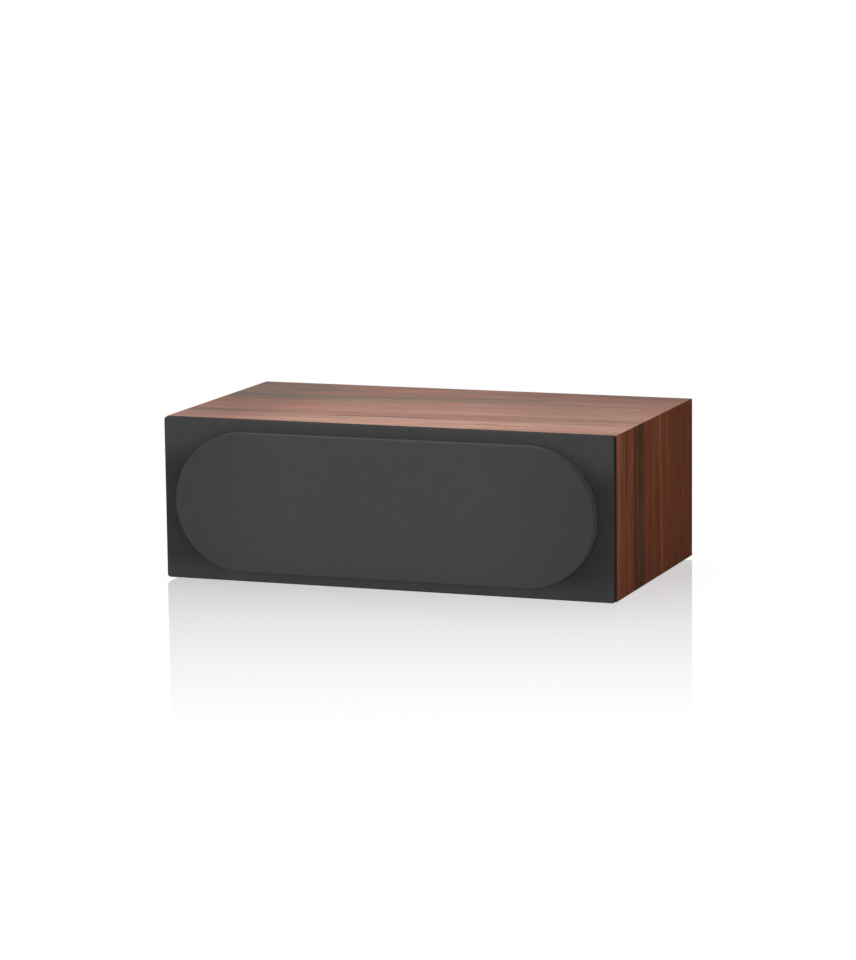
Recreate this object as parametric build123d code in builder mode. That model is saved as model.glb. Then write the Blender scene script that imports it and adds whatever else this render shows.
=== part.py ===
from build123d import *
import os
from math import sqrt

# A center channel speaker: a mitred wooden sleeve with a black front baffle, two woofers and a tweeter behind
# a raised cloth grille, two rear ports, a crossover and a pair of binding posts.
# Millimetres. X runs along the width, the front faces -Y and Z is up. The origin is on the surface that the
# feet stand on, midway along the width and midway between the grille's face and the binding posts' tips.

os.makedirs("parts", exist_ok=True)

# Cabinet
width = 480.0
height = 166.0
cabinet_depth = 262.0
wall = 15.0
edge_round = 0.8
joint_gap = 0.15
rear_thickness = 15.0
rear_recess = 2.0
foot_diameter = 14.0
foot_height = 2.5
foot_inset_x = 38.0
foot_inset_y = 34.0
foot_round = 0.8

# Front baffle: a face plate over the sleeve's front edges, and a plug let into the sleeve
baffle_face = 7.0
baffle_plug = 15.0
baffle_corner = 3.0
baffle_round = 1.0

# Brace and damping
brace_thickness = 12.0
brace_gap = 22.0
brace_rail = 16.0
brace_mullion = 20.0
brace_window = 120.0
brace_corner = 14.0
pad_thickness = 18.0
pad_width = 150.0
pad_clearance = 5.0

# Grille
grille_border_x = 17.0
grille_border_z = 12.0
grille_depth = 13.0
grille_round = 1.5
cloth_thickness = 0.6
cloth_hem_gap = 0.4
frame_wall = 6.0
rib_width = 8.0
rib_front_gap = 4.0
rib_back_gap = 2.0
boss_diameter = 14.0
magnet_diameter = 10.0
magnet_thickness = 3.0
magnet_fit = 0.1
magnet_offset_z = 48.0
magnet_skin = 1.5

# Parts shared by all drivers
flange_thickness = 4.0
gasket_thickness = 1.0
gasket_inset = 0.5
rebate_fit = 0.3
screw_shank = 3.2
screw_head = 6.4
screw_length = 16.0
screw_hex = 2.0
screw_hex_depth = 1.2
screw_fit = 0.1
screws_per_driver = 4
screw_start_angle = 45.0

# Woofers, from the cone outwards
cone_diameter = 88.0
cone_depth = 20.0
cone_thickness = 0.8
glue_width = 2.5
roll_width = 8.0
roll_height = 4.0
surround_rim = 4.0
surround_thickness = 1.0
surround_fit = 0.2
flange_rim = 8.0
dust_cap_diameter = 38.0
dust_cap_rise = 5.0
dust_cap_thickness = 0.6

# Woofer basket
basket_wall = 3.0
basket_skirt = 4.0
cutout_gap = 1.0
leg_count = 6
window_angle = 42.0
window_margin = 1.5
seat_thickness = 3.0
seat_rim = 4.0
tag_length = 10.0
tag_width = 12.0
tag_thickness = 4.0

# Woofer suspension and motor
spider_diameter = 72.0
spider_ledge = 4.0
spider_collar = 2.0
spider_thickness = 0.6
spider_rolls = 4
spider_roll_height = 1.5
neck_to_spider = 6.0
spider_to_seat = 10.0
coil_diameter = 25.0
neck_rim = 1.5
former_thickness = 0.3
winding_thickness = 0.7
winding_length = 12.0
coil_gap = 0.5
plate_diameter = 80.0
plate_thickness = 6.0
magnet_ring_diameter = 90.0
magnet_ring_thickness = 15.0
magnet_ring_setback = 8.0
pole_vent = 8.0

# Tweeter
faceplate_diameter = 92.0
waveguide_diameter = 54.0
waveguide_depth = 6.0
throat_lip = 1.0
tweeter_body = 66.0
dome_diameter = 25.0
dome_rise = 4.0
dome_thickness = 0.4
dome_rim = 0.6
dome_glue_gap = 0.05
tweeter_roll = 3.0
tweeter_roll_height = 1.2
tweeter_rim = 8.0
tweeter_former = 0.3
tweeter_winding = 0.5
tweeter_winding_length = 4.0
tweeter_coil_gap = 0.4
tweeter_plate = 4.0
tweeter_magnet = 10.0
tweeter_magnet_setback = 4.0
tweeter_pole_drop = 1.0
guard_rise = 5.5
guard_thickness = 0.6
guard_hole = 2.2
guard_rings = 3
guard_ring_pitch = 4.2
guard_seat = 0.9
guard_gap = 0.1

# Ports
port_bore = 40.0
port_wall = 2.5
port_flare = 9.0
port_inner_flare = 6.0
port_flange_rim = 6.0
port_length = 130.0
port_fit = 0.2

# Terminals
terminal_width = 84.0
terminal_height = 62.0
terminal_thickness = 3.0
terminal_corner = 8.0
terminal_round = 1.0
terminal_opening_width = 56.0
terminal_opening_height = 34.0
terminal_screw_inset = 8.0
post_spacing = 30.0
post_length = 24.0
post_collar = 14.0
post_collar_thickness = 3.0
post_diameter = 7.0
post_thread = 8.0
post_tail = 12.0
post_bore = 4.0
post_bore_depth = 17.0
post_wire_hole = 2.6
post_wire_height = 1.7
post_fit = 0.1
washer_diameter = 13.0
washer_thickness = 1.2
cap_diameter = 16.0
cap_length = 17.0
cap_chamfer = 0.8
cap_grooves = 20
cap_groove = 1.2
nut_across_corners = 14.0
nut_thickness = 5.0

# Crossover
board_length = 150.0
board_width = 90.0
board_thickness = 1.6
board_corner = 3.0
board_hole_inset = 7.0
support_diameter = 6.0
support_height = 8.0
support_peg = 4.0
support_peg_depth = 8.0
support_neck = 3.0
support_head = 4.8
support_head_height = 2.5
support_fit = 0.1
woofer_coil_diameter = 44.0
woofer_coil_bore = 18.0
woofer_coil_height = 22.0
tweeter_coil_diameter = 28.0
tweeter_coil_bore = 10.0
tweeter_coil_height = 14.0
coil_round = 1.5
round_capacitor_diameter = 18.0
round_capacitor_height = 32.0
box_capacitor_length = 32.0
box_capacitor_width = 14.0
box_capacitor_height = 22.0
resistor_length = 48.0
resistor_width = 10.0
resistor_height = 9.0
component_round = 1.0

# Leads
driver_lead = 4.0
input_lead = 2.4
lead_bend = 15.0
input_bend = 12.0
lead_edge_inset = 6.0
woofer_lead_x = 40.0
tweeter_lead_drop = 20.0

# Places along the depth and the height
inner_width = width - 2 * wall
inner_height = height - 2 * wall
axis_z = foot_height + height / 2
floor_z = foot_height + wall
ceiling_z = foot_height + height - wall
total_depth = (
    grille_depth + baffle_face + cabinet_depth - rear_recess + terminal_thickness + post_length
)
front_y = -total_depth / 2 + grille_depth + baffle_face
face_y = front_y - baffle_face
rear_y = front_y + cabinet_depth
panel_y = rear_y - rear_recess
rear_inner_y = panel_y - rear_thickness
plate_y = panel_y + terminal_thickness
baffle_depth = baffle_face + baffle_plug

# Grille outline, and the woofers on the centres of its round ends
grille_length = width - 2 * grille_border_x
grille_height = height - 2 * grille_border_z
woofer_x = (grille_length - grille_height) / 2

# Woofer radii
cone_r = cone_diameter / 2
roll_r = cone_r + roll_width
surround_r = roll_r + surround_rim
flange_r = surround_r + flange_rim
basket_r = roll_r + basket_wall
cutout_r = basket_r + cutout_gap
rebate_depth = flange_thickness + gasket_thickness
woofer_screw_r = (surround_r + flange_r) / 2
spider_r = spider_diameter / 2
seat_r = spider_r + seat_rim
coil_r = coil_diameter / 2
former_r = coil_r + former_thickness
pole_r = coil_r - coil_gap
gap_r = former_r + winding_thickness + coil_gap
plate_r = plate_diameter / 2
cap_r = dust_cap_diameter / 2
neck_r = coil_r + neck_rim

# Woofer depths behind the baffle's face
rim_back = surround_thickness + surround_fit
neck_back = rim_back + cone_depth
spider_front = neck_back + neck_to_spider
ledge_front = spider_front + spider_thickness
seat_front = ledge_front + spider_to_seat
seat_back = seat_front + seat_thickness
plate_back = seat_back + plate_thickness
magnet_back = plate_back + magnet_ring_thickness
woofer_depth = magnet_back + plate_thickness
skirt_back = flange_thickness + basket_skirt
tag_back = seat_back
brace_front_y = face_y + woofer_depth + brace_gap
brace_back_y = brace_front_y + brace_thickness

# Tweeter radii and depths
faceplate_r = faceplate_diameter / 2
mouth_r = waveguide_diameter / 2
dome_r = dome_diameter / 2
tweeter_roll_r = dome_r + tweeter_roll
throat_r = tweeter_roll_r + surround_fit
body_r = tweeter_body / 2
tweeter_cutout_r = body_r + cutout_gap
tweeter_screw_r = (tweeter_cutout_r + faceplate_r) / 2
boss_back = waveguide_depth + throat_lip
tweeter_front = boss_back + dome_thickness
tweeter_plate_back = tweeter_front + tweeter_plate
tweeter_magnet_back = tweeter_plate_back + tweeter_magnet
tweeter_depth = tweeter_magnet_back + tweeter_plate
tweeter_coil_r = dome_r + tweeter_winding - tweeter_former
tweeter_gap_r = tweeter_coil_r + tweeter_coil_gap
tweeter_pole_r = dome_r - dome_rim - tweeter_coil_gap

# Ports
bore_r = port_bore / 2
port_hole_r = bore_r + port_flare + port_fit
port_flange_r = port_hole_r + port_flange_rim

# Terminal screws
terminal_grid = (terminal_width - 2 * terminal_screw_inset, terminal_height - 2 * terminal_screw_inset)

# Grille ribs stand midway between the tweeter's faceplate and the woofers' flanges
rib_x = (faceplate_r + woofer_x - flange_r) / 2
magnet_places = [(x, z) for x in (-rib_x, rib_x) for z in (-magnet_offset_z, magnet_offset_z)]

# Crossover
board_y = (brace_back_y + rear_inner_y) / 2
board_z = floor_z + support_height
board_top = board_z + board_thickness
support_grid = (board_length - 2 * board_hole_inset, board_width - 2 * board_hole_inset)


def front_plane(depth, x=0.0):
    """Plane parallel to the baffle's face, that depth behind it, looking out to the front."""
    return Plane(origin=(x, face_y + depth, axis_z), x_dir=(1, 0, 0), z_dir=(0, -1, 0))


def rear_plane(y, x=0.0):
    """Plane across the depth at y, looking out to the rear."""
    return Plane(origin=(x, y, axis_z), x_dir=(1, 0, 0), z_dir=(0, 1, 0))


def floor_plane(z, x=0.0, y=0.0):
    """Level plane at height z."""
    return Plane(origin=(x, y, z))


def driver_section(x):
    """Half-section of a driver: local x is the radius and local y the depth behind the baffle's face."""
    return Plane(origin=(x, face_y, axis_z), x_dir=(1, 0, 0), z_dir=(0, 0, 1))


def post_section(x):
    """Half-section of a binding post: local y is the height over the terminal plate."""
    return Plane(origin=(x, plate_y, axis_z), x_dir=(1, 0, 0), z_dir=(0, 0, 1))


def port_section(x):
    """Half-section of a port: local y is the depth into the cabinet from the rear panel's outer face."""
    return Plane(origin=(x, panel_y, axis_z), x_dir=(1, 0, 0), z_dir=(0, 0, -1))


def turning_axis(plane):
    """The axis that a half-section on this plane is turned about."""
    return Axis(plane.origin, plane.y_dir)


def cap_rise(radius, base, rise):
    """How far a round cap of this base radius and rise stands out at a radius."""
    sphere = (base * base + rise * rise) / (2 * rise)
    return sqrt(sphere * sphere - radius * radius) - sphere + rise


def save(part, name):
    """Label a finished piece and write its file."""
    part.label = name
    export_step(part, f"parts/{name}.step")


def turned_piece(name, plane, outline):
    """A round piece turned from the closed half-section through the outline's points."""
    with BuildPart() as piece:
        with BuildSketch(plane):
            with BuildLine():
                Polyline(*outline, close=True)
            make_face()
        revolve(axis=turning_axis(plane))
    save(piece.part, name)


def ring_piece(name, x, front, back, outer, inner):
    """A flat ring about a driver's axis, between two depths behind the baffle's face."""
    with BuildPart() as piece:
        with BuildSketch(front_plane(front, x)):
            Circle(outer)
            Circle(inner, mode=Mode.SUBTRACT)
        extrude(amount=front - back)
    save(piece.part, name)


# Cabinet sleeve: four panels mitred at the corners
def sleeve_panel(name, outer_corners, inner_corners, peg_holes=False):
    """One panel of the sleeve, between two outer and two inner corners of its section."""
    with BuildPart() as panel:
        with BuildSketch(front_plane(baffle_face)):
            RectangleRounded(width, height, edge_round)
            Rectangle(inner_width, inner_height, mode=Mode.SUBTRACT)
            with BuildLine():
                Polyline(*outer_corners, *reversed(inner_corners), close=True)
            make_face(mode=Mode.INTERSECT)
        extrude(amount=-cabinet_depth)
        if peg_holes:
            with BuildSketch(floor_plane(floor_z, y=board_y)):
                with GridLocations(*support_grid, 2, 2):
                    Circle(support_peg / 2 + support_fit)
            extrude(amount=-support_peg_depth - support_fit, mode=Mode.SUBTRACT)
    save(panel.part, name)


outer_x, outer_z = width / 2, height / 2
inner_x, inner_z = inner_width / 2, inner_height / 2
sleeve_panel(
    "top_panel",
    [(-outer_x, outer_z), (outer_x, outer_z)],
    [(-inner_x, inner_z), (inner_x, inner_z)],
)
sleeve_panel(
    "bottom_panel",
    [(-outer_x, -outer_z), (outer_x, -outer_z)],
    [(-inner_x, -inner_z), (inner_x, -inner_z)],
    peg_holes=True,
)
for name, side in (("left_panel", -1), ("right_panel", 1)):
    sleeve_panel(
        name,
        [(side * outer_x, -outer_z), (side * outer_x, outer_z)],
        [(side * inner_x, -inner_z), (side * inner_x, inner_z)],
    )

# Front baffle, rebated for the drivers' flanges and bored from behind for the grille's magnets
with BuildPart() as front_baffle:
    with BuildSketch(front_plane(0)):
        RectangleRounded(width, height, baffle_corner)
    extrude(amount=-baffle_face)
    fillet(front_baffle.faces().sort_by(Axis.Y)[0].edges(), baffle_round)
    with BuildSketch(front_plane(baffle_face)):
        Rectangle(inner_width - 2 * joint_gap, inner_height - 2 * joint_gap)
    extrude(amount=-baffle_plug)
    with BuildSketch(front_plane(0)):
        Circle(faceplate_r + rebate_fit)
        with Locations((-woofer_x, 0), (woofer_x, 0)):
            Circle(flange_r + rebate_fit)
    extrude(amount=-rebate_depth, mode=Mode.SUBTRACT)
    with BuildSketch(front_plane(0)):
        Circle(tweeter_cutout_r)
        with Locations((-woofer_x, 0), (woofer_x, 0)):
            Circle(cutout_r)
    extrude(amount=-baffle_depth, mode=Mode.SUBTRACT)
    with BuildSketch(front_plane(rebate_depth)):
        for x, screw_r in ((-woofer_x, woofer_screw_r), (0, tweeter_screw_r), (woofer_x, woofer_screw_r)):
            with Locations((x, 0)):
                with PolarLocations(screw_r, screws_per_driver, screw_start_angle):
                    Circle(screw_shank / 2 + screw_fit)
    extrude(amount=-(screw_length - rebate_depth + screw_fit), mode=Mode.SUBTRACT)
    with BuildSketch(front_plane(magnet_skin)):
        with Locations(*magnet_places):
            Circle(magnet_diameter / 2 + magnet_fit)
    extrude(amount=-(baffle_depth - magnet_skin), mode=Mode.SUBTRACT)
save(front_baffle.part, "front_baffle")

# Rear panel with the port holes and the opening behind the terminals
with BuildPart() as rear_panel:
    with BuildSketch(rear_plane(panel_y)):
        Rectangle(inner_width - 2 * joint_gap, inner_height - 2 * joint_gap)
        Rectangle(terminal_opening_width, terminal_opening_height, mode=Mode.SUBTRACT)
        with Locations((-woofer_x, 0), (woofer_x, 0)):
            Circle(port_hole_r, mode=Mode.SUBTRACT)
    extrude(amount=-rear_thickness)
    with BuildSketch(rear_plane(panel_y)):
        with GridLocations(*terminal_grid, 2, 2):
            Circle(screw_shank / 2 + screw_fit)
    extrude(amount=-(screw_length - terminal_thickness + screw_fit), mode=Mode.SUBTRACT)
save(rear_panel.part, "rear_panel")

# Window brace behind the woofers, open around the ports and in the middle
with BuildPart() as window_brace:
    with BuildSketch(rear_plane(brace_back_y)):
        Rectangle(inner_width - 2 * joint_gap, inner_height - 2 * joint_gap)
        with Locations((-woofer_x, 0), (woofer_x, 0)):
            RectangleRounded(
                brace_window, inner_height - 2 * brace_rail, brace_corner, mode=Mode.SUBTRACT
            )
        RectangleRounded(
            2 * woofer_x - brace_window - 2 * brace_mullion,
            inner_height - 2 * brace_rail,
            brace_corner,
            mode=Mode.SUBTRACT,
        )
    extrude(amount=-brace_thickness)
save(window_brace.part, "window_brace")

# Foam pads glued under the top panel, one at each end
pad_x = (inner_width - pad_width) / 2 - pad_clearance
with BuildPart() as damping_pads:
    with BuildSketch(floor_plane(ceiling_z, y=board_y)):
        with Locations((-pad_x, 0), (pad_x, 0)):
            Rectangle(pad_width, rear_inner_y - brace_back_y - 2 * pad_clearance)
    extrude(amount=-pad_thickness)
save(damping_pads.part, "damping_pads")

# Feet
with BuildPart() as rubber_feet:
    with BuildSketch(floor_plane(foot_height, y=(front_y + rear_y) / 2)):
        with GridLocations(width - 2 * foot_inset_x, cabinet_depth - 2 * foot_inset_y, 2, 2):
            Circle(foot_diameter / 2)
    extrude(amount=-foot_height)
    fillet(rubber_feet.faces().filter_by(Axis.Z).group_by(Axis.Z)[0].edges(), foot_round)
save(rubber_feet.part, "rubber_feet")

# Grille frame: a rim with half-round ends, two ribs, and a boss for each magnet
frame_front = -grille_depth + cloth_thickness
frame_length = grille_length - 2 * cloth_thickness
frame_height = grille_height - 2 * cloth_thickness
with BuildPart() as frame_blank:
    with BuildSketch(front_plane(0)):
        SlotOverall(frame_length, frame_height)
    extrude(amount=-frame_front)
    fillet(frame_blank.faces().sort_by(Axis.Y)[0].edges(), grille_round - cloth_thickness)

with BuildPart() as grille_frame:
    add(frame_blank.part)
    with BuildSketch(front_plane(0)):
        SlotOverall(frame_length - 2 * frame_wall, frame_height - 2 * frame_wall)
    extrude(amount=-frame_front, mode=Mode.SUBTRACT)
    with BuildSketch(front_plane(-rib_back_gap)):
        with Locations((-rib_x, 0), (rib_x, 0)):
            Rectangle(rib_width, frame_height - frame_wall)
    extrude(amount=-frame_front - rib_back_gap - rib_front_gap)
    with BuildSketch(front_plane(0)):
        with Locations(*magnet_places):
            Circle(boss_diameter / 2)
    extrude(amount=-frame_front - rib_front_gap)
    with BuildSketch(front_plane(0)):
        with Locations(*magnet_places):
            Circle(magnet_diameter / 2 + magnet_fit)
    extrude(amount=magnet_thickness, mode=Mode.SUBTRACT)
save(grille_frame.part, "grille_frame")

# Grille cloth: a thin cap over the frame's face and sides
with BuildPart() as grille_cloth:
    with BuildSketch(front_plane(-cloth_hem_gap)):
        SlotOverall(grille_length, grille_height)
    extrude(amount=grille_depth - cloth_hem_gap)
    fillet(grille_cloth.faces().sort_by(Axis.Y)[0].edges(), grille_round)
    add(frame_blank.part, mode=Mode.SUBTRACT)
save(grille_cloth.part, "grille_cloth")


def magnet_discs(name, front):
    """The four magnet discs of the grille or of the baffle, their front faces at one depth."""
    with BuildPart() as discs:
        with BuildSketch(front_plane(front)):
            with Locations(*magnet_places):
                Circle(magnet_diameter / 2)
        extrude(amount=-magnet_thickness)
    save(discs.part, name)


magnet_discs("grille_magnets", -magnet_thickness)
magnet_discs("baffle_magnets", magnet_skin)


# Woofers
def woofer_basket(name, x, inward):
    """The cast basket: flange, skirt, legs, spider ledge and the seat for the motor."""
    section = driver_section(x)
    outline = [
        (surround_r + surround_fit, 0),
        (flange_r, 0),
        (flange_r, flange_thickness),
        (basket_r, flange_thickness),
        (basket_r, skirt_back),
        (seat_r, seat_front),
        (seat_r, seat_back),
        (gap_r + magnet_ring_setback, seat_back),
        (gap_r + magnet_ring_setback, seat_front),
        (spider_r - spider_ledge, seat_front),
        (spider_r - spider_ledge, ledge_front),
        (spider_r + surround_fit, ledge_front),
        (roll_r, skirt_back),
        (roll_r, rim_back),
        (surround_r + surround_fit, rim_back),
    ]
    window_reach = 2 * flange_r
    with BuildPart() as basket:
        with BuildSketch(section):
            with BuildLine():
                Polyline(*outline, close=True)
            make_face()
        revolve(axis=turning_axis(section))
        with BuildSketch(front_plane(skirt_back + window_margin, x)):
            with PolarLocations(0, leg_count):
                with BuildLine():
                    upper = PolarLine((0, 0), window_reach, window_angle / 2)
                    lower = PolarLine((0, 0), window_reach, -window_angle / 2)
                    Line(upper @ 1, lower @ 1)
                make_face()
        extrude(amount=-(spider_front - skirt_back - 2 * window_margin), mode=Mode.SUBTRACT)
        with BuildSketch(front_plane(tag_back, x)):
            with Locations((inward * (seat_r + tag_length / 2 - surround_fit), 0)):
                Rectangle(tag_length, tag_width)
        extrude(amount=tag_thickness)
        with Locations(front_plane(0, x)):
            with PolarLocations(woofer_screw_r, screws_per_driver, screw_start_angle):
                CounterSinkHole(screw_shank / 2 + screw_fit, screw_head / 2 + screw_fit, flange_thickness, 90)
    save(basket.part, name)


def woofer_surround(name, x):
    """The rubber half roll between the cone's lip and the basket's rim."""
    section = driver_section(x)
    rim_front = rim_back - surround_thickness
    middle_r = (cone_r + roll_r) / 2
    with BuildPart() as surround:
        with BuildSketch(section):
            with BuildLine():
                Polyline(
                    (cone_r, rim_front),
                    (cone_r - glue_width, rim_front),
                    (cone_r - glue_width, rim_back),
                    (cone_r + surround_thickness, rim_back),
                )
                ThreePointArc(
                    (cone_r + surround_thickness, rim_back),
                    (middle_r, rim_back - roll_height),
                    (roll_r - surround_thickness, rim_back),
                )
                Polyline(
                    (roll_r - surround_thickness, rim_back),
                    (surround_r, rim_back),
                    (surround_r, rim_front),
                    (roll_r, rim_front),
                )
                ThreePointArc(
                    (roll_r, rim_front), (middle_r, rim_front - roll_height), (cone_r, rim_front)
                )
            make_face()
        revolve(axis=turning_axis(section))
    save(surround.part, name)


def woofer_spider(name, x):
    """The corrugated centring disc between the coil's former and the basket's ledge."""
    section = driver_section(x)
    first_r = former_r + surround_fit + spider_collar
    last_r = spider_r - spider_ledge
    pitch = (last_r - first_r) / spider_rolls
    with BuildPart() as spider:
        with BuildSketch(section):
            with BuildLine():
                for depth in (spider_front, ledge_front):
                    Line((first_r - spider_collar, depth), (first_r, depth))
                    for i in range(spider_rolls):
                        start_r = first_r + i * pitch
                        crest = depth + spider_roll_height * (-1) ** i
                        ThreePointArc(
                            (start_r, depth), (start_r + pitch / 2, crest), (start_r + pitch, depth)
                        )
                    Line((last_r, depth), (spider_r, depth))
                Line((first_r - spider_collar, spider_front), (first_r - spider_collar, ledge_front))
                Line((spider_r, spider_front), (spider_r, ledge_front))
            make_face()
        revolve(axis=turning_axis(section))
    save(spider.part, name)


def round_cap(name, plane, base, back, rise, thickness, rim=0.0):
    """A thin round cap, hollow behind, whose rim's back face lies at one depth."""
    front = back - thickness
    inner = base - rim
    middle = cap_rise(base / 2, base, rise)
    inner_middle = cap_rise(inner / 2, inner, rise)
    with BuildPart() as cap:
        with BuildSketch(plane):
            with BuildLine():
                ThreePointArc((base, front), (base / 2, front - middle), (0, front - rise))
                Line((0, front - rise), (0, back - rise))
                ThreePointArc((0, back - rise), (inner / 2, back - inner_middle), (inner, back))
                Polyline((inner, back), (base, back), (base, front))
            make_face()
        revolve(axis=turning_axis(plane))
    save(cap.part, name)


def woofer(side, x, inward):
    """All the pieces of one woofer, on the axis at x, with its tag towards the cabinet's middle."""
    section = driver_section(x)
    cone_edge = cone_r - glue_width
    neck_front = neck_back - cone_thickness
    cone_slope = (neck_front - rim_back) / (cone_edge - neck_r)
    cap_back = rim_back + cone_slope * (cone_edge - cap_r) - surround_fit
    winding_front = seat_back + (plate_thickness - winding_length) / 2
    woofer_basket(f"{side}_woofer_basket", x, inward)
    turned_piece(
        f"{side}_woofer_cone",
        section,
        [
            (cone_r, rim_back),
            (cone_edge, rim_back),
            (neck_r, neck_front),
            (coil_r, neck_front),
            (coil_r, neck_back),
            (neck_r, neck_back),
            (cone_edge, rim_back + cone_thickness),
            (cone_r, rim_back + cone_thickness),
        ],
    )
    woofer_surround(f"{side}_woofer_surround", x)
    round_cap(
        f"{side}_woofer_dust_cap",
        section,
        cap_r,
        cap_back,
        dust_cap_rise,
        dust_cap_thickness,
        dust_cap_thickness,
    )
    woofer_spider(f"{side}_woofer_spider", x)
    turned_piece(
        f"{side}_woofer_voice_coil",
        section,
        [
            (coil_r, neck_back),
            (former_r, neck_back),
            (former_r, winding_front),
            (former_r + winding_thickness, winding_front),
            (former_r + winding_thickness, winding_front + winding_length),
            (coil_r, winding_front + winding_length),
        ],
    )
    ring_piece(f"{side}_woofer_top_plate", x, seat_back, plate_back, plate_r, gap_r)
    ring_piece(
        f"{side}_woofer_magnet",
        x,
        plate_back,
        magnet_back,
        magnet_ring_diameter / 2,
        gap_r + magnet_ring_setback,
    )
    turned_piece(
        f"{side}_woofer_pole_yoke",
        section,
        [
            (pole_vent / 2, seat_back),
            (pole_r, seat_back),
            (pole_r, magnet_back),
            (plate_r, magnet_back),
            (plate_r, woofer_depth),
            (pole_vent / 2, woofer_depth),
        ],
    )


woofer("left", -woofer_x, 1)
woofer("right", woofer_x, -1)

# Tweeter
tweeter_section = driver_section(0)
tweeter_rim_r = tweeter_roll_r + tweeter_rim

with BuildPart() as tweeter_faceplate:
    with BuildSketch(tweeter_section):
        with BuildLine():
            Polyline(
                (mouth_r, 0),
                (faceplate_r, 0),
                (faceplate_r, flange_thickness),
                (body_r, flange_thickness),
                (body_r, boss_back),
                (throat_r, boss_back),
                (throat_r, waveguide_depth),
                close=True,
            )
        make_face()
    revolve(axis=turning_axis(tweeter_section))
    with Locations(front_plane(0)):
        with PolarLocations(tweeter_screw_r, screws_per_driver, screw_start_angle):
            CounterSinkHole(screw_shank / 2 + screw_fit, screw_head / 2 + screw_fit, flange_thickness, 90)
save(tweeter_faceplate.part, "tweeter_faceplate")

round_cap("tweeter_dome", tweeter_section, dome_r, tweeter_front, dome_rise, dome_thickness, dome_rim)

with BuildPart() as tweeter_surround:
    roll_start = dome_r + dome_glue_gap
    roll_middle = (roll_start + tweeter_roll_r) / 2
    with BuildSketch(tweeter_section):
        with BuildLine():
            ThreePointArc(
                (roll_start, boss_back),
                (roll_middle, boss_back - tweeter_roll_height),
                (tweeter_roll_r, boss_back),
            )
            Polyline(
                (tweeter_roll_r, boss_back),
                (tweeter_rim_r, boss_back),
                (tweeter_rim_r, tweeter_front),
                (tweeter_roll_r, tweeter_front),
            )
            ThreePointArc(
                (tweeter_roll_r, tweeter_front),
                (roll_middle, tweeter_front - tweeter_roll_height),
                (roll_start, tweeter_front),
            )
            Line((roll_start, tweeter_front), (roll_start, boss_back))
        make_face()
    revolve(axis=turning_axis(tweeter_section))
save(tweeter_surround.part, "tweeter_surround")

tweeter_winding_front = tweeter_front + (tweeter_plate - tweeter_winding_length) / 2 + tweeter_coil_gap
turned_piece(
    "tweeter_voice_coil",
    tweeter_section,
    [
        (dome_r - dome_rim, tweeter_front),
        (dome_r - dome_rim + tweeter_former, tweeter_front),
        (dome_r - dome_rim + tweeter_former, tweeter_winding_front),
        (tweeter_coil_r, tweeter_winding_front),
        (tweeter_coil_r, tweeter_winding_front + tweeter_winding_length),
        (dome_r - dome_rim, tweeter_winding_front + tweeter_winding_length),
    ],
)
ring_piece("tweeter_top_plate", 0, tweeter_front, tweeter_plate_back, body_r, tweeter_gap_r)
ring_piece(
    "tweeter_magnet",
    0,
    tweeter_plate_back,
    tweeter_magnet_back,
    body_r,
    tweeter_gap_r + tweeter_magnet_setback,
)
turned_piece(
    "tweeter_pole_yoke",
    tweeter_section,
    [
        (0, tweeter_front + tweeter_pole_drop),
        (tweeter_pole_r, tweeter_front + tweeter_pole_drop),
        (tweeter_pole_r, tweeter_magnet_back),
        (body_r, tweeter_magnet_back),
        (body_r, tweeter_depth),
        (0, tweeter_depth),
    ],
)

# Perforated guard over the dome, seated on the waveguide's wall
guard_back = waveguide_depth - guard_seat
guard_base = throat_r + (mouth_r - throat_r) * guard_seat / waveguide_depth - guard_gap
with BuildPart() as tweeter_guard:
    guard_front = guard_back - guard_thickness
    middle_rise = cap_rise(guard_base / 2, guard_base, guard_rise)
    with BuildSketch(tweeter_section):
        with BuildLine():
            ThreePointArc(
                (guard_base, guard_front),
                (guard_base / 2, guard_front - middle_rise),
                (0, guard_front - guard_rise),
            )
            Line((0, guard_front - guard_rise), (0, guard_back - guard_rise))
            ThreePointArc(
                (0, guard_back - guard_rise),
                (guard_base / 2, guard_back - middle_rise),
                (guard_base, guard_back),
            )
            Line((guard_base, guard_back), (guard_base, guard_front))
        make_face()
    revolve(axis=turning_axis(tweeter_section))
    with BuildSketch(front_plane(guard_back)):
        Circle(guard_hole / 2)
        for i in range(1, guard_rings + 1):
            with PolarLocations(i * guard_ring_pitch, 6 * i):
                Circle(guard_hole / 2)
    extrude(amount=2 * guard_rise, mode=Mode.SUBTRACT)
save(tweeter_guard.part, "tweeter_guard")

# Foam gaskets under the three flanges
with BuildPart() as driver_gaskets:
    with BuildSketch(front_plane(flange_thickness)):
        Circle(faceplate_r - gasket_inset)
        Circle(tweeter_cutout_r + gasket_inset, mode=Mode.SUBTRACT)
        with PolarLocations(tweeter_screw_r, screws_per_driver, screw_start_angle):
            Circle(screw_shank / 2 + screw_fit, mode=Mode.SUBTRACT)
        for x in (-woofer_x, woofer_x):
            with Locations((x, 0)):
                Circle(flange_r - gasket_inset)
                Circle(cutout_r + gasket_inset, mode=Mode.SUBTRACT)
                with PolarLocations(woofer_screw_r, screws_per_driver, screw_start_angle):
                    Circle(screw_shank / 2 + screw_fit, mode=Mode.SUBTRACT)
    extrude(amount=-gasket_thickness)
save(driver_gaskets.part, "driver_gaskets")


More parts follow.
